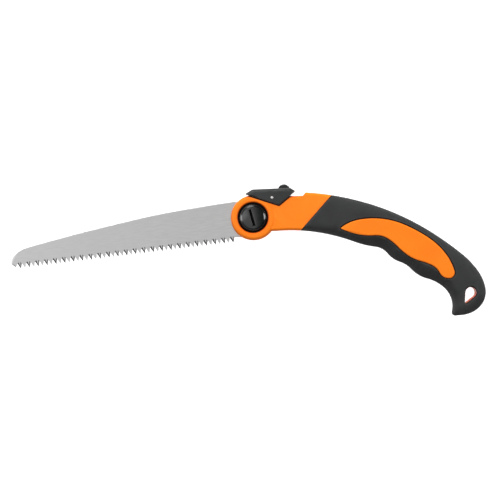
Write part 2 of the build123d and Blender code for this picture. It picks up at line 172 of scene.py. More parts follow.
inlay_upper = arc_chain(
    (85.2, -21), 32, [(104, -14.9), (124, -16.1), (148, -24.9), (172, -42.0), (187.3, -61.5), (192.3, -76)])
inlay_lower = arc_chain(
    (85.2, -21), -32,
    [(100, -28.3), (118, -32.0), (131, -37.0), (139.5, -45.9), (149, -56.0), (160, -62.7),
     (170, -67.6), (178, -77), (186.8, -83.3), (192.3, -76)],
)
inlay = resample(np.vstack([inlay_lower, inlay_upper[::-1][1:-1]]), 0.8)

# Hanging hole: centres and radii of its round end and its pointed end
HANG_AT = (206.4, -100.3)
HANG_R = 5.4
HANG_POINT = (200.5, -109.0)
HANG_POINT_R = 1.1


def teardrop(extra):
    """Hanging hole, larger by extra all round: a large and a small circle in one hull."""
    centres = np.array([HANG_AT, HANG_POINT])
    radii = np.array([HANG_R, HANG_POINT_R]) + extra
    span = centres[1] - centres[0]
    bearing = math.atan2(span[1], span[0])
    opening = math.acos((radii[0] - radii[1]) / np.hypot(*span))
    loop = []
    for centre, radius, first, last in (
        (centres[0], radii[0], bearing + opening, bearing + 2 * math.pi - opening),
        (centres[1], radii[1], bearing - opening, bearing + opening),
    ):
        for angle in np.linspace(first, last, 28):
            loop.append(centre + radius * np.array([math.cos(angle), math.sin(angle)]))
    return resample(np.array(loop), 0.6)


def split_side(points, shift=0.0):
    """Distance behind the slanting joint, positive on the grip's side."""
    across = np.array([math.sin(SPLIT_ANGLE), -math.cos(SPLIT_ANGLE)])
    return (points - SPLIT_FOOT) @ across - shift


def slot_side(points):
    """Positive where the blade's slot runs."""
    folded = math.radians(180 + FOLD_ANGLE)
    up = np.array([-math.sin(folded), math.cos(folded)])
    return SLOT_DEPTH - points @ up


def cut_behind(path, shift):
    """The part of an open line that lies behind the slanting joint, ending on it."""
    side = split_side(path, shift)
    first = int(np.argmax(side > 0))
    t = side[first - 1] / (side[first - 1] - side[first])
    meet = path[first - 1] + t * (path[first] - path[first - 1])
    return np.vstack([meet, path[first:]])


def grip_loop(shift):
    """Outline of the soft grip, cut along the slanting joint."""
    upper = cut_behind(back, shift)
    lower = cut_behind(belly, shift)
    return resample(np.vstack([lower, upper[::-1]]), 0.9)


# ---------------------------------------------------------------- shells

def plan(outer, holes, grid, offsets, extra_lines=(), open_lines=()):
    """Triangles that fill an outline with holes, dense along every edge.

    extra_lines are closed lines inside the outline that the triangles follow, each with its own offsets.
    open_lines are followed too, from end to end.
    """
    loops = [outer, *holes]
    borders = loops + [line for line, _ in extra_lines]
    points = borders + list(open_lines)
    # every line's own segments stay edges of the mesh
    edges = []
    start = 0
    for number, line in enumerate(points):
        last = len(line) - (number >= len(borders))
        edges += [(start + i, start + (i + 1) % len(line)) for i in range(last)]
        start += len(line)

    def clear(candidates, gap):
        """Those of the points that lie on the plan and at least gap from every line."""
        keep = inside(candidates, outer)
        for hole in holes:
            keep &= ~inside(candidates, hole)
        candidates = candidates[keep]
        for border in borders:
            candidates = candidates[distance(candidates, border) > gap]
        for line in open_lines:
            candidates = candidates[distance(candidates, line, closed=False) > min(gap, 0.3)]
        return candidates

    for loop in loops:
        for amount in offsets:
            for sign in (-1, 1):
                ring = resample(grown(loop, sign * amount), max(0.8, min(1.4, amount * 1.2)))
                points.append(clear(ring, amount * 0.97 - 1e-4))
    for line, own in extra_lines:
        for amount in own:
            for sign in (-1, 1):
                points.append(clear(resample(grown(line, sign * amount), 0.35), amount * 0.97 - 1e-4))
    low, high = outer.min(0), outer.max(0)
    rows = np.arange(low[1], high[1], grid * 0.866)
    hexes = np.array([(x + (grid / 2 if i % 2 else 0), y)
                      for i, y in enumerate(rows) for x in np.arange(low[0], high[0], grid)])
    points.append(clear(hexes, max(offsets) + grid * 0.5))
    flat = np.vstack(points)
    made = geometry.delaunay_2d_cdt([Vector(p) for p in flat], edges, [], 0, 1e-5)
    where = np.array([tuple(v) for v in made[0]])
    triangles = np.array([tuple(f) for f in made[2]])
    # drops the triangles outside the plan, and turns the rest the same way round
    centres = where[triangles].mean(1)
    keep = inside(centres, outer)
    for hole in holes:
        keep &= ~inside(centres, hole)
    triangles = triangles[keep]
    a, b, c = where[triangles[:, 0]], where[triangles[:, 1]], where[triangles[:, 2]]
    turn = (b[:, 0] - a[:, 0]) * (c[:, 1] - a[:, 1]) - (b[:, 1] - a[:, 1]) * (c[:, 0] - a[:, 0])
    flip = turn < 0
    triangles[flip] = triangles[flip][:, ::-1]
    return where, triangles


def object_from(name, vertices, faces, sharp=40):
    """A smooth-shaded mesh object, from points in millimetres."""
    mesh = bpy.data.meshes.new(name)
    mesh.from_pydata([tuple(v) for v in np.asarray(vertices) * MM], [], [list(map(int, f)) for f in faces])
    mesh.validate()
    mesh.update()
    mesh.polygons.foreach_set("use_smooth", [True] * len(mesh.polygons))
    mesh.set_sharp_from_angle(angle=math.radians(sharp))
    made = bpy.data.objects.new(name, mesh)
    bpy.context.scene.collection.objects.link(made)
    return made


def shell(name, flat, triangles, top, bottom, side):
    """Closed solid between two heights above a plan, on the side of the mid-plane given by side."""
    count = len(flat)
    high = np.column_stack([flat, MID + side * top])
    low = np.column_stack([flat, MID + side * bottom])
    # an edge that is used in one direction only is on the rim
    edges = dict.fromkeys((int(tri[i]), int(tri[(i + 1) % 3])) for tri in triangles for i in range(3))
    rim = [(a, b) for a, b in edges if (b, a) not in edges]
    faces = [tuple(t) for t in triangles]
    faces += [tuple(count + t[::-1]) for t in triangles]
    faces += [(b, a, count + a, count + b) for a, b in rim]
    if side < 0:
        faces = [tuple(reversed(f)) for f in faces]
    return object_from(name, np.vstack([high, low]), faces)


def smoothed(flat, triangles, height, weight, rounds):
    """Evens out height over the mesh where weight is above nought."""
    pairs = np.vstack([triangles[:, [0, 1]], triangles[:, [1, 2]], triangles[:, [2, 0]]])
    pairs = np.vstack([pairs, pairs[:, ::-1]])
    degree = np.maximum(np.bincount(pairs[:, 0], minlength=len(flat)), 1)
    for _ in range(rounds):
        total = np.bincount(pairs[:, 0], weights=height[pairs[:, 1]], minlength=len(flat))
        height = height + weight * (total / degree - height)
    return height


def drop(gap, radius):
    """How far a rounded edge lies below the surface, at a distance from the edge."""
    t = np.clip(1 - gap / radius, 0, 1)
    return radius * (1 - np.sqrt(1 - t ** 2))


def smoothstep(low, high, value):
    """0 below low, 1 above high, and a smooth step between them."""
    t = np.clip((value - low) / (high - low), 0, 1)
    return t * t * (3 - 2 * t)


# ---------------------------------------------------------------- grip

ROUND = 9.0               # the grip's back is rounded over this depth from its outline
WALL = 4.0                # straight part of the side next to the parting line
FULLNESS = 2.2            # 2 rounds the back as a quarter of an ellipse, more makes it squarer
BEVEL = (3.5, 9.3, 5.5)   # width of the slope on the finger side: at the joint, at the fingers, at the hook
BEVEL_GROWS = 55.0        # the slope reaches its full width this far behind the joint
HOOK_X = (176.0, 188.0)   # and narrows again from and to here
JOINT_HALF = 10.1         # half thickness of the grip where it meets the neck
SWELL = (-2.0, 40.0)      # the grip thickens from and to this far behind the joint
PARTING = 0.08            # half of the fine line between the two sides
PANEL_BACK = 8.0          # the orange panel reaches down to this height above the mid-plane


def grip_height(flat):
    """Half thickness of the grip, and the depth of each point inside its outline.

    The grip is rounded at its back, slopes on the finger side, and is thinner towards the neck.
    """
    behind = split_side(flat)
    butt_end = np.array([belly[-1], back[-1]])
    depth_back = np.minimum(distance(flat, back, closed=False), distance(flat, butt_end, closed=False))
    depth_belly = distance(flat, belly, closed=False)
    crown = JOINT_HALF + (GRIP_HALF - JOINT_HALF) * smoothstep(*SWELL, behind)
    t = np.clip(depth_back / ROUND, 0, 1)
    from_back = (1 - (1 - t) ** FULLNESS) ** (1 / FULLNESS)
    start, middle, end = BEVEL
    width = start + (middle - start) * smoothstep(0, BEVEL_GROWS, behind)
    width += (end - middle) * smoothstep(*HOOK_X, flat[:, 0])
    slope = depth_belly / width
    # a straight slope that turns smoothly into the flat side, with a slight swell at the turn
    from_belly = 0.5 * (slope + 1 - np.sqrt((slope - 1) ** 2 + 0.012)) + 0.03 * np.exp(-(slope - 1) ** 2 * 8)
    from_belly = np.clip(from_belly, 0, 1)
    height = WALL + (crown - WALL) * np.minimum(from_back, 1) * from_belly
    return height - drop(depth_belly, 1.2), np.minimum(depth_back, depth_belly)


def floor_height(flat):
    """Height of a shell's inner face: on the mid-plane, or at the slot's wall where the blade runs."""
    return np.where(slot_side(flat) > 0, SLOT_HALF, PARTING)


# Wells of the screws on the right side: one in the hard neck, two in the orange panel, one in the soft skin
SCREWS = [(62.0, 6.0), (112.0, -22.0), (160.0, -45.0), (200.0, -72.0)]
SCREW_WELL = 3.5


def build_grip(side):
    """Soft skin and orange panel on one side of the handle."""
    word = "left" if side > 0 else "right"
    window = grown(inlay, 0.6)
    holes = [window, teardrop(0.25)]
    if side < 0:
        holes.append(circle(SCREWS[3], SCREW_WELL))
    outer = grip_loop(JOINT_GAP)
    flat, triangles = plan(outer, holes, 1.7, (0.07, 0.25, 0.6, 1.1, 1.9, 3.0, 4.4))
    height, depth = grip_height(flat)
    free = smoothstep(1.5, 4, depth) * smoothstep(0.2, 2, distance(flat, window))
    height = smoothed(flat, triangles, height, 0.6 * free, 12)
    height -= drop(distance(flat, window), 1.1) + drop(distance(flat, holes[1]), 1.6)
    height -= drop(np.abs(split_side(flat, JOINT_GAP)), 1.3)
    if side < 0:
        height -= drop(distance(flat, holes[2]), 0.6)
    skin = shell(f"grip_skin_{word}", flat, triangles, height, floor_height(flat), side)
    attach(skin, "handle")
    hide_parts(f"overmould_{word}")

    # the hard core where it shows in the window
    panel_edge = grown(inlay, 0.05)
    wells = [circle(at, SCREW_WELL) for at in SCREWS[1:3]] if side < 0 else []
    flat, triangles = plan(panel_edge, wells, 1.6, (0.07, 0.25, 0.6, 1.1, 1.9))
    height, _ = grip_height(flat)
    height += 0.05 - drop(distance(flat, panel_edge), 0.9)
    for well in wells:
        height -= drop(distance(flat, well), 0.5)
    panel = shell(f"grip_panel_{word}", flat, triangles, height, np.full(len(flat), PANEL_BACK), side)
    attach(panel, "handle")
    return skin, panel


skins = [build_grip(1), build_grip(-1)]


# ---------------------------------------------------------------- blade

PITCH = 4.46
TEETH = 49
FIRST_TIP = -22.26
TIP_Y = -22.5
GULLET_Y = -17.3
LEAN = 0.31           # a tooth's tip lies this part of the pitch from its handle-side gullet
BLUNT = 0.15          # half width of a tooth's tip
GRIND = 1.15          # width of the ground faces along a tooth
GRIND_UP = 1.7        # the ground faces run up into the blade by this much
GRIND_TIP = 3.2       # and by this much at the tip
GRIND_DEEP = 1.05     # depth of the grinding at the tooth's edge
SPINE_BEVEL = (0.7, 0.25)    # width and depth of the eased edge along the spine
NOSE_BEVEL = (0.9, 0.15)     # added to them at the ground nose
NOSE_X = (-236.0, -222.0)    # the nose's bevel fades from and to here
BORE_R = 6.05
TANG_R = 17.0
TANG_FROM = 127.0            # the tang's round edge runs from the open stop's shoulder
TANG_TO = -120.0             # to the toothed edge
NOTCHES = (93.0, -59.0)      # lock notches, open and folded
NOTCH_FLOOR_R = 15.5
NOTCH_MOUTH = 6.1            # half angle of a notch at the tang's edge
NOTCH_FLOOR = 6.7            # and at its floor


def polar(radius, degrees):
    """Point at a radius and an angle from +X about the pivot."""
    angle = math.radians(degrees)
    return (radius * math.cos(angle), radius * math.sin(angle))


def tang():
    """Round end of the blade with its two lock notches, clockwise from the open stop's shoulder."""
    points = []
    angle = TANG_FROM
    while angle > TANG_TO:
        notch = [centre for centre in NOTCHES if abs(angle - centre) < NOTCH_MOUTH]
        if notch:
            centre = notch[0]
            points += [
                polar(TANG_R, centre + NOTCH_MOUTH),
                polar(NOTCH_FLOOR_R, centre + NOTCH_FLOOR),
                polar(NOTCH_FLOOR_R, centre - NOTCH_FLOOR),
                polar(TANG_R, centre - NOTCH_MOUTH),
            ]
            angle = centre - 8
        else:
            points.append(polar(TANG_R, angle))
            angle -= 3
    points.append(polar(TANG_R, TANG_TO))
    return points


def blade_outline():
    """The blade's outline, clockwise seen from the left side; each tooth is bevelled on one side only.

    Returns the outline of the left face, the outer edge, the outline of the right face, and the heights
    of the outer edge towards the left and towards the right.
    """
    front, edge, rear, high, low = [], [], [], [], []

    def add(point, inset=(0, 0), front_cut=0.0, rear_cut=0.0):
        """One point of the outline; a cut lowers that side there and sets its face back by inset."""
        point = np.array(point, float)
        front.append(point + np.array(inset) * (front_cut > 0))
        rear.append(point + np.array(inset) * (rear_cut > 0))
        edge.append(point)
        high.append(BLADE_HALF - front_cut)
        low.append(-BLADE_HALF + rear_cut)

    for point in tang():
        add(point)
    add(polar(21.5, 240))
    for number in range(TEETH):
        tip = np.array([FIRST_TIP - PITCH * number, TIP_Y])
        cut = (0.0, GRIND_DEEP) if number % 2 else (GRIND_DEEP, 0.0)
        right = np.array([tip[0] + LEAN * PITCH, GULLET_Y])
        left = np.array([tip[0] + (LEAN - 1) * PITCH, GULLET_Y])
        start = right + (tip - right) * 0.05
        end = left + (tip - left) * 0.05
        add(right)
        add(start, (-GRIND, GRIND_UP), *cut)
        add(tip + (BLUNT, 0), (-0.5, GRIND_TIP), *cut)
        add(tip - (BLUNT, 0), (-0.3, GRIND_TIP), *cut)
        add(end, (GRIND * 0.9, GRIND_UP), *cut)
    add((FIRST_TIP + PITCH * (LEAN - TEETH), GULLET_Y - 0.6))
    add((-241.4, -20.6), (0.3, 0.9), 0.3, 0.3)
    # ground nose and eased spine, from the tip to the shoulder
    crest = smooth_line(
        [(-245.9, -16.4), (-244.6, -12.6), (-241.4, -9.0), (-237.4, -5.9), (-233, -4.0), (-220, -1.3),
         (-204, 1.2), (-178, 5.0), (-153, 8.2), (-128, 11.2), (-102, 14.0), (-76, 15.9), (-51, 17.1),
         (-30, 18.0), (-13.7, 18.2)], 2)
    ahead = np.gradient(crest, axis=0)
    inward = np.column_stack([ahead[:, 1], -ahead[:, 0]]) / np.hypot(*ahead.T)[:, None]
    for i, point in enumerate(crest):
        ground = 1 - smoothstep(*NOSE_X, point[0])
        width, depth = np.array(SPINE_BEVEL) + np.array(NOSE_BEVEL) * ground
        add(point, inward[i] * width, depth, depth)
    return np.array(front), np.array(edge), np.array(rear), np.array(high), np.array(low)


def pierced_face(outline, bore):
    """Triangles of a flat outline with a bore in it; the bore's points are numbered after the outline's."""
    count = len(outline)
    rings = len(bore)
    lines = [(i, (i + 1) % count) for i in range(count)]
    lines += [(count + i, count + (i + 1) % rings) for i in range(rings)]
    points = [Vector(p) for p in np.vstack([outline, bore])]
    made = geometry.delaunay_2d_cdt(points, lines, [], 0, 1e-6)
    where = np.array([tuple(v) for v in made[0]])
    source = [ids[0] if ids else -1 for ids in made[3]]
    triangles = []
    for tri in made[2]:
        centre = where[list(tri)].mean(0)[None]
        ids = [source[v] for v in tri]
        if inside(centre, outline)[0] and not inside(centre, bore)[0] and min(ids) >= 0:
            triangles.append(ids)
    return triangles


def build_blade():
    """Blade plate with its ground teeth, bevelled spine and bore."""
    front, edge, rear, high, low = blade_outline()
    count = len(edge)
    bore = circle((0, 0), BORE_R, 1.2)[::-1]
    rings = len(bore)
    vertices = []
    vertices += [(x, y, MID + BLADE_HALF) for x, y in front]
    vertices += [(x, y, MID + z) for (x, y), z in zip(edge, high)]
    vertices += [(x, y, MID + z) for (x, y), z in zip(edge, low)]
    vertices += [(x, y, MID - BLADE_HALF) for x, y in rear]
    vertices += [(x, y, MID + BLADE_HALF) for x, y in bore]
    vertices += [(x, y, MID - BLADE_HALF) for x, y in bore]
    faces = []
    for level in range(3):
        upper, lower = level * count, (level + 1) * count
        for i in range(count):
            j = (i + 1) % count
            faces.append((upper + i, upper + j, lower + j, lower + i))
    base = 4 * count
    for i in range(rings):
        j = (i + 1) % rings
        faces.append((base + j, base + i, base + rings + i, base + rings + j))
    # the two flat sides
    for outline, offset, hole, turned in ((front, 0, base, False), (rear, 3 * count, base + rings, True)):
        for triangle in pierced_face(outline, bore):
            ids = [offset + v if v < count else hole + v - count for v in triangle]
            faces.append(tuple(ids[::-1]) if turned else tuple(ids))
    blade = object_from("blade_plate", vertices, faces, 12)
    # the slanting faces have finishes of their own: first the teeth, then the nose and the spine
    for face in blade.data.polygons:
        if 0.2 < abs(face.normal.z) < 0.99:
            of_tooth = face.center.y < -14 * MM and face.center.x > -242 * MM
            face.material_index = 1 if of_tooth else 2
    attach(blade, "blade")
    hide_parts("saw_blade")
    return blade


blade = build_blade()


# ---------------------------------------------------------------- lock lever

LEVER_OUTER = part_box("lock_lever")[1].z / MM - MID
LEVER_INNER = 7.4             # half width of the hollow between the side plates
LEVER_CORNERS = [(-5.2, 24.3), (2.8, 28.0), (40.4, 25.0), (45.3, 21.1), (27.2, 9.7)]  # nose first
LEVER_ROUNDS = [0.4, 4.5, 1.2, 0.9, 1.0]
ROOF = 3.1                    # thickness of the lever's top
ROOF_LONG = 39.8              # length of the roof's underside behind the nose
TAIL_WALL_X = 42.3            # the hollow ends here
NOSE_ROOF_Y = 23.7            # the hollow's roof at the nose, at NOSE_ROOF_X
NOSE_ROOF_X = -8.0
NOSE_ROOF_RISE = 0.1137       # and how it rises from there
BAND = 3.0                    # width of the sloping band along the lever's top
BAND_FALL = 1.5               # depth of the band at the top edge
NOSE_BEVEL_LONG = 15.0        # length of the narrow bevel under the nose
TAIL_BEVEL_LONG = 8.0         # and under the tail
UNDER_BEVEL_FALL = 0.58       # fall of both, for each millimetre of width
SLIDER_SLOT = (22.7, 34.3)    # the slider's slot, from and to, along the top
SLIDER_SLOT_HALF = 1.95
PIN_AT = (21.2, 17.6)
PIN_HOLE_R = 1.5


def rounded(corners, radii, step=0.35):
    """Closed polygon with a rounding of its own at each corner."""
    loop = []
    corners = np.array(corners, float)
    for i, radius in enumerate(radii):
        before = corners[i - 1] - corners[i]
        after = corners[(i + 1) % len(corners)] - corners[i]
        before /= np.hypot(*before)
        after /= np.hypot(*after)
        half = math.acos(before @ after) / 2
        middle = (before + after) / np.hypot(*(before + after))
        centre = corners[i] + middle * radius / math.sin(half)
        first = corners[i] + before * radius / math.tan(half) - centre
        last = corners[i] + after * radius / math.tan(half) - centre
        start = math.atan2(first[1], first[0])
        sweep = (math.atan2(last[1], last[0]) - start + math.pi) % (2 * math.pi) - math.pi
        for angle in np.linspace(start, start + sweep, max(3, int(abs(sweep) * radius / step) + 2)):
            loop.append(centre + radius * np.array([math.cos(angle), math.sin(angle)]))
    return np.array(loop)


def hollow_plate(name, flat, triangles, top, inner):
    """Closed solid, the same on both sides of the mid-plane.

    inner gives each triangle the half height of the hollow inside it, or 0 where it is solid.
    """
    sides = {}
    for number, tri in enumerate(triangles):
        for i in range(3):
            a, b = tri[i], tri[(i + 1) % 3]
            sides.setdefault((min(a, b), max(a, b)), []).append((number, a, b))
    # heights at which each point of the plan has a vertex
    levels = [{round(h, 4), -round(h, 4)} for h in top]
    for number, tri in enumerate(triangles):
        if inner[number] > 0:
            for v in tri:
                levels[v] |= {inner[number], -inner[number]}
    index = {}
    vertices = []

    def vertex(v, z):
        """Number of the vertex at a point of the plan and a height, made when it is first asked for."""
        if (v, z) not in index:
            index[(v, z)] = len(vertices)
            vertices.append((*flat[v], MID + z))
        return index[(v, z)]

    def wall(a, b, low, high):
        """Upright face over the edge from a to b, seen from its right."""
        rise = [vertex(b, z) for z in sorted(levels[b]) if low[1] <= z <= high[1]]
        fall = [vertex(a, z) for z in sorted(levels[a], reverse=True) if low[0] <= z <= high[0]]
        return (*rise, *fall)

    faces = []
    for number, (a, b, c) in enumerate(triangles):
        hollow = inner[number]
        faces.append([vertex(v, round(top[v], 4)) for v in (a, b, c)])
        faces.append([vertex(v, -round(top[v], 4)) for v in (c, b, a)])
        if hollow > 0:
            faces.append([vertex(v, hollow) for v in (c, b, a)])
            faces.append([vertex(v, -hollow) for v in (a, b, c)])
    for users in sides.values():
        number, a, b = users[0]
        ends = (round(top[a], 4), round(top[b], 4))
        if len(users) == 1:
            hollow = inner[number]
            if hollow > 0:
                faces.append(wall(a, b, (hollow, hollow), ends))
                faces.append(wall(a, b, (-ends[0], -ends[1]), (-hollow, -hollow)))
            else:
                faces.append(wall(a, b, (-ends[0], -ends[1]), ends))
        elif inner[number] != inner[users[1][0]]:
            if inner[number] > inner[users[1][0]]:
                number, a, b = users[1]
            deep, shallow = max(inner[users[0][0]], inner[users[1][0]]), inner[number]
            if shallow > 0:
                faces.append(wall(a, b, (shallow, shallow), (deep, deep)))
                faces.append(wall(a, b, (-deep, -deep), (-shallow, -shallow)))
            else:
                faces.append(wall(a, b, (-deep, -deep), (deep, deep)))
    return object_from(name, vertices, faces, 35)


def build_lever():
    """Wedge of two side plates and a roof, with a sloping band along its top."""
    outline = rounded(LEVER_CORNERS, LEVER_ROUNDS)
    outline = resample(outline, 0.55)
    nose, front, rear, tail, keel = np.array(LEVER_CORNERS)
    along = (rear - front) / np.hypot(*(rear - front))
    up = np.array([-along[1], along[0]])
    pin = circle(PIN_AT, PIN_HOLE_R, 0.4)
    # the mesh follows the roof's underside and the ends of the slider's slot
    under = front - ROOF * up
    first, last = SLIDER_SLOT
    guides = [np.array([nose + (0.6, -0.9), under, under + ROOF_LONG * along])]
    for place in SLIDER_SLOT:
        guides.append(np.array([front + place * along - low * up for low in (0.25, ROOF)]))
    guides = [resample(line, 0.6, closed=False) for line in guides]
    flat, triangles = plan(outline, [pin], 1.1, (0.06, 0.2, 0.45, 0.8, 1.3, 2.0), open_lines=guides)
    top_line = np.array([nose, front, rear, tail])
    depth = distance(flat, top_line, closed=False)
    slope = np.clip(1 - depth / BAND, 0, 1)
    height = LEVER_OUTER - BAND_FALL * slope ** 1.15 - drop(depth, 0.9)
    # narrow bevels under the nose and under the tail, fading towards the keel
    for start, reach in ((nose, NOSE_BEVEL_LONG), (tail, TAIL_BEVEL_LONG)):
        edge = distance(flat, np.array([start, keel]), closed=False)
        width = 0.4 + 0.8 * (1 - smoothstep(reach - 4, reach, np.hypot(*(flat - start).T)))
        height -= UNDER_BEVEL_FALL * np.clip(width - edge, 0, None)
    height -= drop(distance(flat, pin), 0.15)
    centres = flat[triangles].mean(1)
    back_along = (centres - front) @ along
    below = -(centres - front) @ up
    nose_roof = NOSE_ROOF_Y + NOSE_ROOF_RISE * (centres[:, 0] - NOSE_ROOF_X)
    cavity = (below > ROOF) | ((back_along < 0) & (centres[:, 1] < nose_roof))
    cavity &= centres[:, 0] < TAIL_WALL_X
    slot = (back_along > first) & (back_along < last) & ~cavity
    inner = np.where(cavity, LEVER_INNER, np.where(slot, SLIDER_SLOT_HALF, 0.0))
    lever = hollow_plate("lever_wedge", flat, triangles, height, inner)
    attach(lever, "lever")
    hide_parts("lock_lever")
    return lever


lever = build_lever()


# ---------------------------------------------------------------- pivot bolt

CAP_R = 13.2
CAP_FACE = 10.9               # the domed face ends here
CAP_BEVEL = 12.0              # and the bevel round it here
BEVEL_FALL = 0.53             # fall of the bevel, for each millimetre outwards
RIM_FALL = 0.15               # and of the rim outside it
DOME = 1.1                    # height of the dome
CAP_BASE = 7.8                # underside of the cap, above the mid-plane
CAP_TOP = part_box("pivot_bolt")[1].z / MM - MID
COIN_SLOT = (16.5, 2.4, 3.0)  # length, width and depth
COIN_SLOT_SHIFT = -0.9        # the slot lies this far to the side of the axis
COIN_SLOT_ANGLE = math.radians(98.0)
SHANK = [(0.0, -11.4), (3.6, -11.4), (4.0, -11.0), (4.0, CAP_BASE), (0.0, CAP_BASE)]
# near-black ring that stands in for the shade in the gap round the cap: painted shade
SHADE_RING = [(12.8, 7.23), (14.85, 7.23), (14.85, 7.55), (14.6, 7.75), (12.8, 7.75)]


def lathe(name, profile, turns, closed=False):
    """Round solid from a profile of (radius, height above the mid-plane); closed profiles make rings."""
    vertices = []
    rows = []
    for radius, height in profile:
        count = 1 if radius == 0 else turns
        rows.append([len(vertices) + i % count for i in range(turns)])
        vertices += [(radius * math.cos(2 * math.pi * i / turns), radius * math.sin(2 * math.pi * i / turns),
                      MID + height) for i in range(count)]
    faces = []
    pairs = list(zip(rows, rows[1:])) + ([(rows[-1], rows[0])] if closed else [])
    for low, high in pairs:
        for i in range(turns):
            j = (i + 1) % turns
            corners = [low[i], low[j], high[j], high[i]]
            faces.append(tuple(dict.fromkeys(corners)))
    return object_from(name, vertices, faces)


def build_bolt():
    """Domed cap with a coin slot, its shank, and a near-black ring of painted shade in the gap round the cap.
    """
    rim = circle((0, 0), CAP_R, 0.7)
    long, wide, deep = COIN_SLOT
    along = np.array([math.cos(COIN_SLOT_ANGLE), math.sin(COIN_SLOT_ANGLE)])
    across = np.array([-along[1], along[0]])
    middle = np.array([COIN_SLOT_SHIFT, 0.0])
    corners = [middle + along * (x * long / 2) + across * (y * wide / 2)
               for x, y in ((-1, -1), (1, -1), (1, 1), (-1, 1))]
    slot = resample(rounded(corners, [0.3] * 4), 0.4)
    lines = [(slot, (0.04, 0.16, 0.35)), (circle((0, 0), CAP_FACE, 0.7), (0.15, 0.3)),
             (circle((0, 0), CAP_BEVEL, 0.7), (0.15, 0.3))]
    flat, triangles = plan(rim, [], 0.9, (0.05, 0.2, 0.45, 0.8), lines)
    radius = np.hypot(*flat.T)
    height = CAP_TOP - DOME * np.minimum(radius / CAP_FACE, 1) ** 2
    height -= BEVEL_FALL * np.clip(radius - CAP_FACE, 0, CAP_BEVEL - CAP_FACE)
    height -= RIM_FALL * np.clip(radius - CAP_BEVEL, 0, None)
    height -= drop(CAP_R - radius, 0.9)
    gap = distance(flat, slot)
    in_slot = inside(flat, slot) & (gap > 0.01)
    height = np.where(in_slot, CAP_TOP - deep, height - drop(gap, 0.25))
    cap = shell("pivot_cap", flat, triangles, height, np.full(len(flat), CAP_BASE), 1)
    # painted shade: the slot's inside is matt and near-black, standing in for the shade in it
    mouth = grown(slot, 0.05)
    for face in cap.data.polygons:
        over_base = face.center.z > (MID + CAP_BASE + 0.1) * MM
        if over_base and inside(np.array([face.center[:2]]) / MM, mouth)[0]:
            face.material_index = 1
    shank = lathe("pivot_shank", SHANK, 40)
    shade_ring = lathe("pivot_shade_ring", SHADE_RING, 96, closed=True)
    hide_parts("pivot_bolt")
    for piece, slot_name in ((cap, "black_plastic"), (shank, "bright_steel"), (shade_ring, "black_plastic")):
        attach(piece, "handle")
    return cap, shank, shade_ring


cap, shank, shade_ring = build_bolt()


# ---------------------------------------------------------------- materials

def nodes_of(name):
    """A new node material with its tree and its shader."""
    made = bpy.data.materials.new(name)
    made.use_nodes = True
    tree = made.node_tree
    return made, tree, tree.nodes["Principled BSDF"]


def noise(tree, scale, detail=4.0, stretch=(1, 1, 1), turn=0.0):
    """Noise in the object's own coordinates, in metres, stretched along one direction if need be."""
    place = tree.nodes.new("ShaderNodeTexCoord")
    mapping = tree.nodes.new("ShaderNodeMapping")
    mapping.inputs["Rotation"].default_value = (0, 0, math.radians(turn))
    mapping.inputs["Scale"].default_value = stretch
    texture = tree.nodes.new("ShaderNodeTexNoise")
    texture.inputs["Scale"].default_value = scale
    texture.inputs["Detail"].default_value = detail
    tree.links.new(place.outputs["Object"], mapping.inputs["Vector"])
    tree.links.new(mapping.outputs["Vector"], texture.inputs["Vector"])
    return texture.outputs["Fac"]


def ramp(tree, source, stops):
    """Colour ramp over a value: stops are (position, colour or grey)."""
    node = tree.nodes.new("ShaderNodeValToRGB")
    node.color_ramp.elements.remove(node.color_ramp.elements[1])
    for i, (position, colour) in enumerate(stops):
        element = node.color_ramp.elements[0] if i == 0 else node.color_ramp.elements.new(position)
        element.position = position
        rgb = (colour,) * 3 if isinstance(colour, (int, float)) else colour
        element.color = (*rgb, 1)
    tree.links.new(source, node.inputs["Fac"])
    return node.outputs["Color"]


def blend_colour(tree, factor, first, second):
    """Colour between two, by a value: each is an output or a colour."""
    node = tree.nodes.new("ShaderNodeMix")
    node.data_type = "RGBA"
    for socket, value in ((node.inputs[0], factor), (node.inputs[6], first), (node.inputs[7], second)):
        if isinstance(value, bpy.types.NodeSocket):
            tree.links.new(value, socket)
        elif isinstance(value, float):
            socket.default_value = value
        else:
            socket.default_value = (*value, 1)
    return node.outputs[2]


def bump(tree, shader, layers):
    """Bumps on top of each other: (height, strength, distance in metres)."""
    last = None
    for height, strength, reach in layers:
        node = tree.nodes.new("ShaderNodeBump")
        node.inputs["Strength"].default_value = strength
        node.inputs["Distance"].default_value = reach
        tree.links.new(height, node.inputs["Height"])
        if last is not None:
            tree.links.new(last, node.inputs["Normal"])
        last = node.outputs["Normal"]
    tree.links.new(last, shader.inputs["Normal"])


def wear_and_highlight_on_edges(tree, low, high):
    """Value that rises along convex edges, broken up by noise: edge wear, and partly a painted highlight
    along the edges.
    """
    shape = tree.nodes.new("ShaderNodeNewGeometry")
    rub_and_highlight = tree.nodes.new("ShaderNodeMath")
    rub_and_highlight.operation = "MULTIPLY"
    tree.links.new(ramp(tree, shape.outputs["Pointiness"], [(low, 0.0), (high, 1.0)]), rub_and_highlight.inputs[0])
    tree.links.new(ramp(tree, noise(tree, 260, 4), [(0.35, 0.35), (0.62, 1.0)]), rub_and_highlight.inputs[1])
    return rub_and_highlight.outputs["Value"]


def occlusion_shade(tree, reach, low, high):
    """Value that rises in narrow gaps, for painted shade where the surface is hemmed in: full at low
    openness, none at high.
    """
    node = tree.nodes.new("ShaderNodeAmbientOcclusion")
    node.samples = 8
    node.inputs["Distance"].default_value = reach
    return ramp(tree, node.outputs["AO"], [(low, 1.0), (high, 0.0)])


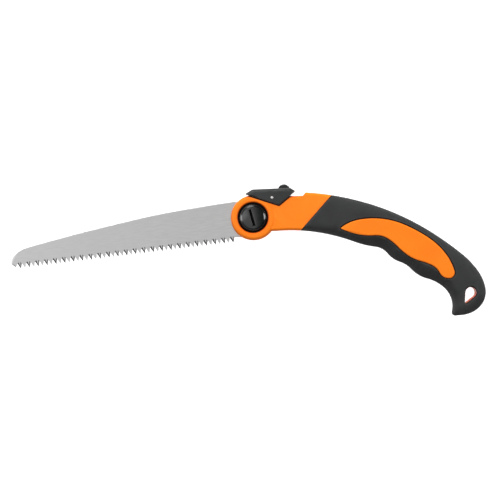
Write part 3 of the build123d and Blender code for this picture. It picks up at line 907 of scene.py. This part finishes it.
def moulded(name, dark, light, gloss, stipple, wear_and_edge_highlight, deep, gap_shade, specular):
    """Moulded plastic or rubber.

    Its colour drifts slowly between dark and light, with specks and rubbed, lighter edges in worn, the edges
    partly a painted highlight. Painted shade turns it to deep in broad hollows and to grime in narrow gaps.
    gloss is a range of roughness, and stipple is the scale and strength of the grain.
    """
    made, tree, shader = nodes_of(name)
    colour = ramp(tree, noise(tree, 34, 3), [(0.32, dark), (0.68, light)])
    specks = ramp(tree, noise(tree, 1500, 2), [(0.60, 0.0), (0.72, 0.22)])
    colour = blend_colour(tree, specks, colour, wear_and_edge_highlight)
    # lighter convex edges: wear, and partly a painted highlight
    colour = blend_colour(tree, wear_and_highlight_on_edges(tree, 0.505, 0.56), colour, wear_and_edge_highlight)
    # painted shade: darker towards deep where broad hollows hem the surface in
    colour = blend_colour(tree, occlusion_shade(tree, 0.014, 0.70, 0.99), colour, deep)
    # painted shade: darker towards grime in narrow gaps
    colour = blend_colour(tree, occlusion_shade(tree, 0.003, 0.50, 0.82), colour, gap_shade)
    tree.links.new(colour, shader.inputs["Base Color"])
    scuffs = ramp(tree, noise(tree, 190, 5, (1, 2.4, 1), 25), [(0.36, gloss[0]), (0.64, gloss[1])])
    tree.links.new(scuffs, shader.inputs["Roughness"])
    shader.inputs["Specular IOR Level"].default_value = specular
    scale, strength = stipple
    bump(tree, shader, [(noise(tree, 48, 1), 0.12, 0.0005), (noise(tree, scale, 2), strength, 0.00012)])
    return made


def steel(name, colour, gloss, grain, stretch, turn, strength):
    """Ground or brushed steel: fine streaks in colour, gloss and surface, and slow cloudy change."""
    made, tree, shader = nodes_of(name)
    shader.inputs["Metallic"].default_value = 1.0
    streak = noise(tree, grain, 3, stretch, turn)
    dark = tuple(c * 0.93 for c in colour)
    light = tuple(min(1.0, c * 1.05) for c in colour)
    base = ramp(tree, streak, [(0.3, dark), (0.7, light)])
    cloud = ramp(tree, noise(tree, 16, 2), [(0.4, 0.0), (0.75, 0.5)])
    base = blend_colour(tree, cloud, base, tuple(c * 0.94 for c in colour))
    tree.links.new(base, shader.inputs["Base Color"])
    tree.links.new(ramp(tree, streak, [(0.3, gloss[0]), (0.7, gloss[1])]), shader.inputs["Roughness"])
    scratches = noise(tree, grain * 2.3, 1, stretch, turn + 4)
    bump(tree, shader, [(streak, strength, 0.00002), (scratches, strength * 0.6, 0.00001)])
    return made


# Arguments of moulded: dark, light, gloss, stipple, worn (wear and painted edge highlight), deep and grime
# (painted shade in broad hollows and narrow gaps), specular
orange = moulded(
    "orange_plastic_moulded", (0.610, 0.130, 0.0034), (0.650, 0.144, 0.0042), (0.40, 0.52), (2400, 0.16),
    (0.66, 0.17, 0.010), (0.42, 0.050, 0.0020), (0.010, 0.003, 0.001), 0.20)
rubber = moulded(
    "grip_rubber_soft", (0.0215, 0.0220, 0.0220), (0.0255, 0.0260, 0.0260), (0.58, 0.72), (3600, 0.45),
    (0.040, 0.041, 0.041), (0.014, 0.014, 0.014), (0.003, 0.003, 0.003), 0.10)
black = moulded(
    "black_plastic_satin", (0.0120, 0.0130, 0.0130), (0.0170, 0.0180, 0.0180), (0.28, 0.40), (2600, 0.14),
    (0.040, 0.041, 0.041), (0.006, 0.006, 0.006), (0.002, 0.002, 0.002), 0.40)
gloss_black = moulded(
    "black_plastic_gloss", (0.0016, 0.0020, 0.0019), (0.0028, 0.0033, 0.0032), (0.14, 0.22), (1600, 0.06),
    (0.012, 0.013, 0.013), (0.001, 0.001, 0.001), (0.0004, 0.0004, 0.0004), 0.75)
# painted shade: near-black matt finish of the ring in the gap round the cap and of the coin slot's inside
shade_black = moulded(
    "painted_shade_black", (0.0020, 0.0018, 0.0018), (0.0030, 0.0027, 0.0027), (0.6, 0.8), (3000, 0.20),
    (0.004, 0.004, 0.004), (0.001, 0.001, 0.001), (0.0005, 0.0004, 0.0004), 0.08)
nylon = moulded(
    "washer_nylon_white", (0.50, 0.49, 0.45), (0.58, 0.57, 0.53), (0.40, 0.52), (2600, 0.10),
    (0.62, 0.61, 0.57), (0.30, 0.28, 0.24), (0.12, 0.11, 0.09), 0.5)

# Arguments of steel: colour, gloss, grain, stretch, turn, strength
blade_steel = steel("blade_steel_satin", (0.60, 0.60, 0.60), (0.32, 0.40), 900, (0.12, 1, 1), 0, 0.10)
tooth_steel = steel("tooth_steel_hardened", (0.20, 0.20, 0.205), (0.34, 0.46), 1400, (1, 0.3, 1), 0, 0.10)
edge_steel = steel("edge_steel_ground", (0.50, 0.50, 0.50), (0.34, 0.44), 1200, (0.3, 1, 1), 0, 0.10)
bright_steel = steel("bright_steel_turned", (0.86, 0.85, 0.83), (0.20, 0.32), 1800, (1, 1, 0.2), 0, 0.12)

by_slot = {
    "orange_plastic": orange, "grip_rubber": rubber, "black_plastic": black,
    "washer_nylon": nylon, "blade_steel": blade_steel, "bright_steel": bright_steel,
}


def paint(thing, *finishes):
    """Finishes for an object: each face keeps its own choice among them."""
    chosen = [face.material_index for face in thing.data.polygons]
    thing.data.materials.clear()
    for finish in finishes:
        thing.data.materials.append(finish)
    thing.data.polygons.foreach_set("material_index", chosen)


for entry in frame["record"]["subparts"]:
    paint(frame["nodes"][entry["node"]], by_slot[entry["material_slot"]])
for skin, panel in skins:
    paint(skin, rubber)
    paint(panel, orange)
paint(blade, blade_steel, tooth_steel, edge_steel)
paint(lever, black)
# the coin slot's inside and the ring round the cap are painted shade
paint(cap, gloss_black, shade_black)
paint(shade_ring, shade_black)
paint(shank, bright_steel)


# ---------------------------------------------------------------- floor, lights and camera

FLOOR_HALF = 3.0                 # metres, as is all that follows
FLOOR_LEVEL = -0.0004
LENS = 150                       # millimetres, as is the film width
FILM_WIDTH = 36
FIELD_WIDTH = 0.5                # width of what the camera sees at the mid-plane
AIM = (-0.0068, -0.0317)         # and the middle of it
ROLL = -6.93                     # degrees by which the camera is turned about its line of sight


def build_stage():
    """Plain pale floor under the saw."""
    mesh = bpy.data.meshes.new("floor")
    corners = [(x * FLOOR_HALF, y * FLOOR_HALF, FLOOR_LEVEL) for x, y in ((-1, -1), (1, -1), (1, 1), (-1, 1))]
    mesh.from_pydata(corners, [], [(0, 1, 2, 3)])
    floor = bpy.data.objects.new("floor", mesh)
    bpy.context.scene.collection.objects.link(floor)
    made, tree, shader = nodes_of("pale_floor")
    tree.links.new(ramp(tree, noise(tree, 40, 4), [(0.3, 0.93), (0.7, 0.95)]), shader.inputs["Base Color"])
    shader.inputs["Roughness"].default_value = 0.9
    shader.inputs["Specular IOR Level"].default_value = 0.1
    floor.data.materials.append(made)


def area_light(name, place, size, power, mirrored=True, shadows=True):
    """Soft round light aimed at the saw; one that isn't mirrored leaves no glint on glossy parts."""
    data = bpy.data.lights.new(name, "AREA")
    data.shape = "DISK"
    data.size = size
    data.energy = power
    data.use_shadow = shadows
    lamp = bpy.data.objects.new(name, data)
    lamp.location = place
    lamp.rotation_euler = (Vector((0.0, -0.03, 0.0)) - Vector(place)).to_track_quat("-Z", "Y").to_euler()
    lamp.visible_glossy = mirrored
    bpy.context.scene.collection.objects.link(lamp)


def build_lights():
    """Soft lights and a studio sky that the glossy parts mirror."""
    area_light("front", (0.0, 0.1, 2.6), 0.8, 9, mirrored=False)
    area_light("above", (0.05, 2.0, 1.5), 1.2, 90, mirrored=False, shadows=False)
    area_light("sheen", (-0.3, 2.0, 1.6), 1.2, 14, shadows=False)
    area_light("left", (-1.55, 0.15, 1.1), 0.8, 9, shadows=False)
    area_light("right", (1.65, 0.0, 1.0), 0.8, 13, shadows=False)
    world = bpy.data.worlds.new("studio")
    world.use_nodes = True
    tree = world.node_tree
    sky = tree.nodes["Background"]
    place = tree.nodes.new("ShaderNodeTexCoord")
    split = tree.nodes.new("ShaderNodeSeparateXYZ")
    tree.links.new(place.outputs["Generated"], split.inputs["Vector"])
    # bright overhead, dark at the horizon, darker on the right, with a soft box on the upper left
    brightness = [(0.0, 0.04), (0.5, 0.12), (0.8, 0.34), (0.93, 0.84), (1.0, 0.95)]
    overhead = ramp(tree, split.outputs["Z"], brightness)
    to_right = ramp(tree, split.outputs["X"], [(0.03, 1.0), (0.22, 0.16)])
    shaded = blend_colour(tree, 1.0, overhead, to_right)
    shaded.node.blend_type = "MULTIPLY"
    aim = tree.nodes.new("ShaderNodeVectorMath")
    aim.operation = "DOT_PRODUCT"
    aim.inputs[1].default_value = (-0.43, 0.20, 0.88)
    tree.links.new(place.outputs["Generated"], aim.inputs[0])
    box = ramp(tree, aim.outputs["Value"], [(0.95, 0.0), (0.99, 1.3)])
    lit = blend_colour(tree, 1.0, shaded, box)
    lit.node.blend_type = "ADD"
    # seen straight on, beyond the floor's edge, the studio is pale
    rays = tree.nodes.new("ShaderNodeLightPath")
    seen = blend_colour(tree, rays.outputs["Is Camera Ray"], lit, (0.93, 0.93, 0.93))
    tree.links.new(seen, sky.inputs["Color"])
    bpy.context.scene.world = world
    bpy.context.scene.view_settings.view_transform = "Standard"


def build_camera():
    """Camera straight above the saw, far enough off to show it almost without perspective."""
    data = bpy.data.cameras.new("camera")
    data.lens = LENS
    data.sensor_width = FILM_WIDTH
    camera = bpy.data.objects.new("camera", data)
    camera.location = (*AIM, MID * MM + FIELD_WIDTH * LENS / FILM_WIDTH)
    camera.rotation_euler = (0, 0, math.radians(ROLL))
    bpy.context.scene.collection.objects.link(camera)
    bpy.context.scene.camera = camera


build_stage()
build_lights()
build_camera()
